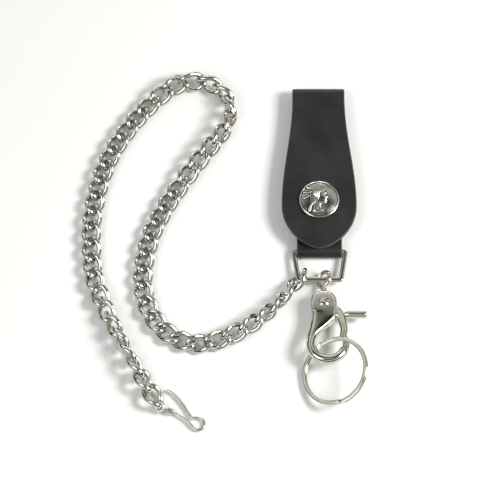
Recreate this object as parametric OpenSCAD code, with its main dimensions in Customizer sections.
// Wallet chain: a snap-closed leather belt loop, a ring, a trigger clasp with a split key ring,
// and a long curb chain that ends in a spring wire clip. It lies flat on a table at z = 0.
// Millimetres. +Y runs up the belt loop, +Z away from the table. The origin is on the rear face
// of the belt loop, under the middle of the snap.

/* [Belt loop] */
// Width of the strap where it passes over the belt
strap_w = 27.4; // [26.5:0.1:28.5]
// Width of the strap where it is folded round the ring
rear_w = 23.4; // [22:0.1:23.6]
// Thickness of the leather
leather_t = 2.2; // [2.1:0.05:2.3]
// Height of the gap that the belt passes through
belt_gap = 4.8; // [4.7:0.1:5.5]
// Distance from the snap to the middle of the top fold
fold_y = 62; // [52:1:75]
// Greatest width of the flap
flap_w = 39; // [36:0.5:42]
// Distance from the snap down to the flap's tip
flap_drop = 27.2; // [26.6:0.1:27.4]

/* [Snap] */
// Diameter of the domed coin that caps the snap
coin_d = 21.2; // [19:0.1:23]
// Height of the coin's dome above its edge
coin_dome = 2.2; // [1.6:0.1:2.6]

/* [Strap ring] */
// Distance from the snap to the ring's top bar
ring_drop = 26.8; // [26.8:0.1:27.4]
// Distance between the ring's top bar and the middle of its bottom bar
ring_len = 16.5; // [16:0.1:17]
// Width of the ring's flat bottom bar
ring_bar_w = 3.2; // [3:0.1:3.4]

/* [Clasp] */
// Radius of the clasp's round head
head_r = 6.8; // [6.4:0.1:7]
// Thickness of the clasp's head
head_t = 6; // [5.8:0.1:6.2]
// Mean radius of the claw
claw_r = 8.9; // [8.8:0.1:9]
// Radius of the claw's round section
claw_wire_r = 2.4; // [2.3:0.05:2.45]
// Angle that the key ring lifts the clasp from the table
clasp_lift = 7.5; // [7.2:0.1:8]

/* [Key ring] */
// Outside diameter of the split key ring
key_ring_d = 36.6; // [36:0.1:37]
// Angle between the key ring and the table
key_ring_tilt = 27; // [26:0.5:28]

/* [Chain] */
// Outside length of one link
link_len = 15.6; // [15.5:0.05:15.7]
// Outside width of one link
link_w = 10.9; // [10.8:0.05:11]
// Diameter of the links' wire
link_wire_d = 2.5; // [2.35:0.05:2.5]
// Twist of each end of a link out of its middle plane
link_twist = 45; // [43:1:47]

/* [Clip] */
// Diameter of the clip's spring wire
clip_wire_d = 1.5; // [1.2:0.1:1.6]

/* [Hidden] */
$fn = 64;

LINKS = 52;
PAIRS = LINKS / 2;
CHAIN_NODES = [for (k = [1 : PAIRS]) pair_name(k)];

// Levels of the leather's layers above the table
flap_z = leather_t + belt_gap;
tab_z = 2 * leather_t;
fold_z = (flap_z + leather_t) / 2;
tab_end_y = 14;
tab_slope = 12.5;

// The ring's top bar in the leather, and the height of its bottom bar
ring_wire_r = 1.1;
ring_bore_r = ring_wire_r + 0.05;
ring_z = leather_t + ring_bore_r;
ring_t = 1.8;
ring_leg_w = 2.4;
ring_top_x = 13.5;
ring_low_x = 11;
eye_z = 4.2;
ring_tilt = asin((eye_z - ring_z) / ring_len);
bar_y = -ring_drop - ring_len * cos(ring_tilt);

// Snap hardware, as radii and heights
post_r = 1.9;
post_flare_r = 2.4;
socket_r = 6.2;
socket_h = 1.9;
socket_plate = 0.5;
stud_r = 2.9;
stud_clearance = 0.2;
stud_base_r = 5.6;
stud_base_t = 0.5;
eyelet_r = 4.6;
eyelet_t = 0.5;
stud_post_r = 1.8;
coin_rim_t = 0.8;
coin_shell_t = 0.9;

// Swivel eye: a round loop rolled about the clasp's length, and a headed post
clasp_x = 2;
eye_r = 4.2;
eye_wire_r = 1.15;
eye_roll = 45;
swivel_r = 1.6;
swivel_bore_r = swivel_r + 0.05;
swivel_head_r = 2.3;

// Clasp, in its own plane: x across, y up towards the ring bar, origin at the bar
rivet_y = -15;
rivet_r = 1.6;
rivet_head_r = 2.9;
rivet_head_t = 0.6;
head_y = -14.6;
claw_x = 1.9;
claw_y = -39.4;
claw_start = 140;
claw_end = 342;
slot_t = 3.1;
gate_t = 2;
gate_z = -0.9;
spring_coil_r = 2.4;
spring_wire_d = 0.22;
spring_pitch = 0.25;
spring_turns = 1.5;
gate_boss_r = 3.1;
gate_reach = 28.2;
claw_reach = 28.6;
neck_t = 4.6;
lever_t = 4.4;
lever_x = 10.6;
lever_len = 11.7;
lever_w = 3.8;
lever_y = -21.3;
groove_pitch = 1.1;
groove_w = 0.5;

// Split key ring: two turns of flat wire
key_wire_w = 2.2;
key_wire_t = 1.1;
key_turn_pitch = 1.2;
key_r = (key_ring_d - key_wire_w) / 2;
key_x = 7.4;
key_y = -97.2;
key_z = 9.6;
key_start = -80;
key_lean = 4;

// Chain: half axes of a link's centre line, and the route of the link centres over the table
link_a = (link_len - link_wire_d) / 2;
link_b = (link_w - link_wire_d) / 2;
link_steps = 20;
wire_sides = 8;
route = [
    [-11.1, -43.7], [-16.45, -51.05], [-22.6, -58.2], [-30, -65], [-38.5, -71],
    [-48, -75.8], [-57.5, -78.6], [-67, -78.6], [-75.5, -75.2], [-82.4, -69.4],
    [-87.3, -61.5], [-90.2, -53], [-91.5, -44], [-91, -34], [-89.5, -25],
    [-87, -16], [-83.5, -8], [-79.5, 0], [-75, 7.5], [-70, 15],
    [-65, 22.2], [-59, 30.2], [-52.2, 38.6], [-47.2, 48], [-46.8, 58.2],
    [-53, 66.8], [-63, 71], [-74.5, 69.5], [-86.5, 60.5],
    [-98.5, 46.5], [-108.5, 30], [-114.5, 13], [-118, -6], [-118.5, -24],
    [-116.5, -43], [-110.5, -61], [-102.5, -78], [-96.5, -89], [-91, -100],
    [-85.5, -109]
];
// Roll of the links about the chain's own line, as [link number, degrees]
rolls = [[1, 48], [8, 180], [20, 180], [32, 360], [44, 360], [52, 520]];
table_gap = 0.05;

// Spring wire clip: the eye hangs in the last link, and the arms lie on the table
clip_eye_r = 2.2;
clip_z = 1.2;
clip_bight_x = -62.6;
clip_bight_y = -123.2;
clip_bight_r = 3.2;
clip_bight_from = 216;
clip_bight_to = 444;
function bight_point(a) = [clip_bight_x + clip_bight_r * cos(a), clip_bight_y + clip_bight_r * sin(a), clip_z];
function bight_way(a) = [-sin(a), cos(a), 0];
clip_low_route = [
    [-75.5, -116.8, 1.6],
    [-71, -119.6, clip_z],
    bight_point(clip_bight_from) - 4 * bight_way(clip_bight_from + 6),
    bight_point(clip_bight_from) - 2 * bight_way(clip_bight_from + 6),
    bight_point(clip_bight_from)
];
clip_high_route = [
    bight_point(clip_bight_to),
    bight_point(clip_bight_to) + 2 * bight_way(clip_bight_to - 6),
    bight_point(clip_bight_to) + 4 * bight_way(clip_bight_to - 6),
    [-71.5, -111, clip_z],
    [-76, -106, clip_z],
    [-79, -104.4, clip_z]
];

// ---- helpers -------------------------------------------------------------------------------

function pair_name(k) = str("chain_", k < 10 ? "0" : "", k);
function unit(v) = v / norm(v);
function ring_section(r, sides) = [for (j = [0 : sides - 1]) r * [cos(360 * j / sides), sin(360 * j / sides)]];
function rect_section(w, h) = [[w, h] / 2, [-w, h] / 2, [-w, -h] / 2, [w, -h] / 2];

// Smooth curve through the points p, as a list of short steps
function smooth(p, steps = 12) = let (last = len(p) - 1) concat(
    [for (i = [0 : last - 1], s = [0 : steps - 1]) let (
        t = s / steps,
        a = p[max(i - 1, 0)],
        b = p[i],
        c = p[i + 1],
        d = p[min(i + 2, last)]
    ) (2 * b + (c - a) * t + (2 * a - 5 * b + 4 * c - d) * t * t + (3 * b - a - 3 * c + d) * t * t * t) / 2],
    [p[last]]
);
function lengths(p, i = 0, sum = 0) = i == len(p) - 1
    ? [sum]
    : concat([sum], lengths(p, i + 1, sum + norm(p[i + 1] - p[i])));
function along(s, steps, p, axis) = lookup(s, [for (i = [0 : len(p) - 1]) [steps[i], p[i][axis]]]);

// Sweep of a closed section along a path, with the direction "up" given at each point
function path_way(p, i, closed) = let (n = len(p)) closed
    ? unit(p[(i + 1) % n] - p[(i + n - 1) % n])
    : unit(p[min(i + 1, n - 1)] - p[max(i - 1, 0)]);
function sweep_ring(p, i, up, section, closed) = let (
    way = path_way(p, i, closed),
    side = unit(cross(way, up)),
    top = cross(side, way)
) [for (s = section) p[i] + s[0] * side + s[1] * top];
module sweep(path, ups, section, closed = false) {
    n = len(path);
    k = len(section);
    points = [for (i = [0 : n - 1]) each sweep_ring(path, i, ups[i], section, closed)];
    walls = [for (i = [0 : closed ? n - 1 : n - 2], j = [0 : k - 1]) let (
        a = i * k + j,
        b = i * k + (j + 1) % k,
        c = ((i + 1) % n) * k + (j + 1) % k,
        d = ((i + 1) % n) * k + j
    ) each [[a, b, c], [a, c, d]]];
    start = [for (j = [0 : k - 1]) k - 1 - j];
    end = [for (j = [0 : k - 1]) (n - 1) * k + j];
    polyhedron(points, closed ? walls : concat(walls, [start, end]));
}
module flat_wire(path, d) {
    sweep(path, [for (p = path) [0, 0, 1]], ring_section(d / 2, wire_sides));
}
module capsule(a, b, w) {
    run = b - a;
    translate(a) rotate(atan2(run[1], run[0])) translate([0, -w / 2]) square([norm(run), w]);
    translate(a) circle(d = w);
    translate(b) circle(d = w);
}
module across_x(length) {
    rotate([90, 0, 90]) linear_extrude(length, center = true) children();
}

// ---- belt loop -----------------------------------------------------------------------------

module back_profile() {
    translate([-ring_drop, 0]) square([fold_y + ring_drop, leather_t]);
    translate([-ring_drop, ring_z]) difference() {
        circle(ring_bore_r + leather_t);
        circle(ring_bore_r);
        translate([0, -10]) square([10, 20]);
    }
    polygon([
        [-ring_drop, ring_z + ring_bore_r],
        [-ring_drop, ring_z + ring_bore_r + leather_t],
        [-ring_drop + tab_slope, tab_z],
        [tab_end_y, tab_z],
        [tab_end_y, leather_t],
        [-ring_drop + tab_slope, leather_t]
    ]);
}

module back_outline() {
    top = strap_w / 2;
    low = rear_w / 2;
    polygon([[-top, fold_y], [top, fold_y], [top, 12], [low, -12], [low, -40], [-low, -40], [-low, -12], [-top, 12]]);
}

module leather_back() {
    color("#25262a") difference() {
        intersection() {
            across_x(2 * strap_w) back_profile();
            linear_extrude(20) back_outline();
        }
        cylinder(r = eyelet_r, h = eyelet_t);
        cylinder(r = stud_post_r, h = 3 * leather_t);
    }
}

module belt_fold() {
    color("#25262a") translate([0, fold_y, fold_z]) across_x(strap_w) difference() {
        circle(fold_z);
        circle(fold_z - leather_t);
        translate([-10, -10]) square([10, 20]);
    }
}

// Half width of the flap: it swells from the strap to its widest place, then rounds in to a soft point
flap_wide_y = -3;
flap_swell_y = fold_y - 2;
function swell(y) = (1 - cos(180 * (flap_swell_y - y) / (flap_swell_y - flap_wide_y))) / 2;
flap_side = concat(
    [[strap_w / 2, fold_y]],
    [for (i = [0 : 12]) let (y = flap_swell_y + (flap_wide_y - flap_swell_y) * i / 12)
        [strap_w / 2 + (flap_w - strap_w) / 2 * swell(y), y]],
    [for (a = [7.5 : 7.5 : 90]) [flap_w / 2 * pow(cos(a) * cos(a), 0.62), flap_wide_y - (flap_drop + flap_wide_y) * sin(a)]]
);

module leather_flap() {
    mirrored = [for (i = [len(flap_side) - 2 : -1 : 0]) [-flap_side[i][0], flap_side[i][1]]];
    color("#25262a") difference() {
        translate([0, 0, flap_z]) linear_extrude(leather_t) polygon(concat(flap_side, mirrored));
        cylinder(r = post_r, h = flap_z + 2 * leather_t);
    }
}

// ---- snap ----------------------------------------------------------------------------------

module dome(r, rise, height) {
    ball = (r * r + rise * rise) / (2 * rise);
    intersection() {
        translate([0, 0, height + rise - ball]) sphere(ball, $fn = 96);
        cylinder(r = r, h = height + rise + 1);
    }
}

module coin_cap() {
    r = coin_d / 2;
    color("silver") translate([0, 0, flap_z + leather_t]) difference() {
        dome(r, coin_dome, coin_rim_t);
        translate([0, 0, -coin_shell_t]) dome(r - coin_shell_t, coin_dome, coin_rim_t);
    }
}

module cap_post() {
    top = flap_z + leather_t + coin_rim_t + coin_dome - coin_shell_t;
    low = flap_z - socket_plate;
    color("gainsboro") {
        translate([0, 0, low]) cylinder(r = post_r, h = top - low - 0.1);
        translate([0, 0, low - 0.3]) cylinder(r = post_flare_r, h = 0.3);
    }
}

module snap_socket() {
    color("silver") translate([0, 0, flap_z - socket_h]) difference() {
        cylinder(r = socket_r, h = socket_h);
        translate([0, 0, -1]) cylinder(r = stud_r + stud_clearance, h = socket_h - socket_plate + 1);
        cylinder(r = post_r, h = 2 * socket_h);
    }
}

module snap_stud() {
    color("silver") translate([0, 0, tab_z]) difference() {
        union() {
            cylinder(r = stud_base_r, h = stud_base_t);
            cylinder(r = stud_r, h = stud_base_t + 1.2);
        }
        translate([0, 0, -1]) cylinder(r = stud_post_r, h = 10);
    }
}

module stud_post() {
    color("gainsboro") {
        cylinder(r = eyelet_r, h = eyelet_t);
        cylinder(r = stud_post_r, h = tab_z + stud_base_t + 1.1);
    }
}

// ---- strap ring ----------------------------------------------------------------------------

module strap_ring() {
    color("silver") translate([0, -ring_drop, ring_z]) rotate([-ring_tilt, 0, 0]) {
        rotate([0, 90, 0]) cylinder(r = ring_wire_r, h = 2 * ring_top_x, center = true);
        linear_extrude(ring_t, center = true) {
            capsule([-ring_low_x + 0.3, -ring_len], [ring_low_x - 0.3, -ring_len], ring_bar_w);
            for (side = [-1, 1])
                capsule([side * ring_top_x, 0], [side * ring_low_x, -ring_len + 1], ring_leg_w);
        }
    }
}

// ---- clasp ---------------------------------------------------------------------------------

module in_clasp() {
    translate([clasp_x, bar_y, eye_z]) rotate([-clasp_lift, 0, 0]) children();
}
module along_y(r, from, to) {
    translate([0, from, 0]) rotate([90, 0, 0]) cylinder(r = r, h = from - to);
}

module swivel_eye() {
    post_top = -eye_r - eye_wire_r / 2;
    head_top = head_y + head_r - 2.2;
    color("silver") in_clasp() {
        rotate([0, -eye_roll, 0]) rotate_extrude() translate([eye_r, 0]) circle(eye_wire_r, $fn = 24);
        along_y(swivel_r, post_top, head_top - 1.3);
        along_y(swivel_head_r, head_top - 0.15, head_top - 1.3);
    }
}

// The neck runs from the round head to the left, where the claw begins
neck = [[-6.7, -14.6], [-6.4, -20], [-7.4, -27], [-8.4, -32.6], [-4.2, -35.2], [-2, -31.6], [8.4, -21], [8, -19], [6.4, -14.6]];

module claw() {
    translate([claw_x, claw_y, 0]) rotate([0, 0, claw_start])
        rotate_extrude(angle = claw_end - claw_start) translate([claw_r, 0]) circle(claw_wire_r, $fn = 32);
}

module clasp_body() {
    head_top = head_y + head_r - 2.2;
    color("silver") in_clasp() difference() {
        union() {
            translate([0, head_y, 0]) cylinder(r = head_r, h = head_t, center = true);
            linear_extrude(neck_t, center = true) polygon(neck);
            claw();
        }
        along_y(swivel_bore_r, 0, head_top - 0.5);
        along_y(swivel_head_r + 0.1, head_top, head_top - 1.5);
        translate([0, rivet_y, 0]) cylinder(r = rivet_r, h = 2 * head_t, center = true);
        // room for the gate, between the two cheeks
        translate([0, rivet_y, 0]) cylinder(r = gate_boss_r + 0.2, h = slot_t, center = true);
        linear_extrude(slot_t, center = true)
            polygon([[-2.2, -17.2], [3.4, -15.4], [10.5, -15.4], [11, -31], [1, -31], [-0.4, -24]]);
        // the claw's tip follows the gate's swing
        intersection() {
            translate([0, rivet_y, 0]) cylinder(r = claw_reach, h = head_t, center = true);
            translate([4, -50, -5]) cube([12, 20, 10]);
        }
    }
}

module gate_outline() {
    difference() {
        union() {
            translate([0, rivet_y]) circle(gate_boss_r);
            polygon([[-1.8, rivet_y - 2.3], [2.6, rivet_y - 1.2], [6.4, -18.8], [10.6, -21.4], [12, -28], [12.2, -34], [8.4, -34.4], [6.2, -28]]);
            intersection() {
                translate([claw_x, claw_y]) difference() {
                    circle(claw_r + claw_wire_r);
                    circle(claw_r - 1.3);
                    translate([-20, -20]) square([24, 40]);
                }
                translate([0, rivet_y]) circle(gate_reach);
            }
        }
        translate([0, rivet_y]) circle(rivet_r + 0.05);
    }
}

module clasp_gate() {
    color("gainsboro") in_clasp() {
        translate([0, 0, gate_z]) linear_extrude(gate_t) gate_outline();
        difference() {
            translate([lever_x, lever_y - lever_w / 2, -lever_t / 2]) cube([lever_len, lever_w, lever_t]);
            for (x = [lever_x + 3 : groove_pitch : lever_x + lever_len - 1])
                translate([x, lever_y - lever_w, lever_t / 2 - 0.3]) cube([groove_w, 2 * lever_w, 1]);
        }
    }
}

module gate_rivet() {
    color("silver") in_clasp() translate([0, rivet_y, 0]) difference() {
        union() {
            cylinder(r = rivet_r, h = head_t, center = true);
            for (side = [-1, 1])
                translate([0, 0, side * (head_t + rivet_head_t) / 2])
                    cylinder(r = rivet_head_r, h = rivet_head_t, center = true);
        }
        translate([-rivet_head_r, -0.4, head_t / 2 + 0.2]) cube([2 * rivet_head_r, 0.8, 1]);
    }
}

module gate_spring() {
    coil = [for (a = [0 : 20 : 360 * spring_turns])
        [spring_coil_r * cos(a), spring_coil_r * sin(a), a / 360 * spring_pitch]];
    color("dimgray") in_clasp() translate([0, rivet_y, (spring_wire_d - slot_t) / 2 + 0.02])
        sweep(coil, [for (p = coil) [0, 0, 1]], ring_section(spring_wire_d / 2, 6));
}

// ---- key ring ------------------------------------------------------------------------------

module key_ring() {
    turn = [for (a = [0 : 7.5 : 720])
        [key_r * cos(a + key_start), key_r * sin(a + key_start), key_turn_pitch * (a / 360 - 1)]];
    color("silver") translate([key_x, key_y, key_z]) rotate([key_lean, -key_ring_tilt, 0])
        sweep(turn, [for (p = turn) [0, 0, 1]], rect_section(key_wire_w, key_wire_t));
}

// ---- chain ---------------------------------------------------------------------------------

curve = smooth(route);
curve_steps = lengths(curve);
link_pitch = curve_steps[len(curve_steps) - 1] / (LINKS - 1);
places = [for (i = [0 : LINKS - 1]) let (s = min(i * link_pitch, curve_steps[len(curve_steps) - 1]))
    [for (axis = [0, 1]) along(s, curve_steps, curve, axis)]];
function link_angle(i, t) = lookup(i + 1, rolls) - link_twist * cos(t);
// Half the height of link i as it lies, and the height of its centre with room for the link's slope
rises = [for (i = [0 : LINKS - 1])
    max([for (t = [0 : 10 : 350]) abs(link_b * sin(t) * sin(link_angle(i, t)))]) + link_wire_d / 2];
function slope_room(i) = abs(rises[min(i + 1, LINKS - 1)] - rises[max(i - 1, 0)]) * link_a / link_pitch / 2;
centres = [for (i = [0 : LINKS - 1]) [places[i][0], places[i][1], rises[i] + slope_room(i) + table_gap]];
function link_way(i) = path_way(centres, i, false);
function link_side(i) = unit(cross([0, 0, 1], link_way(i)));
function link_top(i) = cross(link_way(i), link_side(i));
function turned(i, angle) = cos(angle) * link_side(i) + sin(angle) * link_top(i);

// One link is an oval of round wire whose two ends are twisted opposite ways
module link(i) {
    turns = [for (s = [0 : link_steps - 1]) 360 * s / link_steps];
    path = [for (t = turns)
        centres[i] + link_a * cos(t) * link_way(i) + link_b * sin(t) * turned(i, link_angle(i, t))];
    ups = [for (t = turns) turned(i, link_angle(i, t) + 90)];
    sweep(path, ups, ring_section(link_wire_d / 2, wire_sides), closed = true);
}

module chain_pair(k) {
    color("silver") for (i = [2 * k - 2, 2 * k - 1]) link(i);
}

// ---- clip ----------------------------------------------------------------------------------

clip_pivot = centres[LINKS - 1] + link_a * link_way(LINKS - 1);
clip_axis = turned(LINKS - 1, link_angle(LINKS - 1, 0));

module clip_wire() {
    shank = concat([clip_pivot + [2.4, -0.8, -0.6]], clip_low_route);
    color("silver") {
        translate(clip_pivot) rotate([0, acos(clip_axis[2]), atan2(clip_axis[1], clip_axis[0])])
            rotate_extrude() translate([clip_eye_r, 0]) circle(d = clip_wire_d, $fn = 24);
        flat_wire(smooth(shank, 3), clip_wire_d);
    }
}

module clip_sleeve() {
    from = clip_pivot + [3.4, -1.3, -0.9];
    run = clip_low_route[0] - from;
    color("silver") translate(from)
        rotate([0, acos(run[2] / norm(run)), atan2(run[1], run[0])]) difference() {
            cylinder(d = clip_wire_d + 1.6, h = norm(run));
            translate([0, 0, -1]) cylinder(d = clip_wire_d + 0.4, h = norm(run) + 2);
        }
}

module clip_bight() {
    bend = [for (a = [clip_bight_from : 12 : clip_bight_to]) bight_point(a)];
    color("silver") flat_wire(bend, clip_wire_d);
}

module clip_arm() {
    color("silver") flat_wire(smooth(clip_high_route, 3), clip_wire_d);
}

leather_back();
belt_fold();
leather_flap();
coin_cap();
cap_post();
snap_socket();
snap_stud();
stud_post();
strap_ring();
swivel_eye();
clasp_body();
clasp_gate();
gate_rivet();
gate_spring();
key_ring();
for (k = [1 : PAIRS]) chain_pair(k);
clip_wire();
clip_sleeve();
clip_bight();
clip_arm();
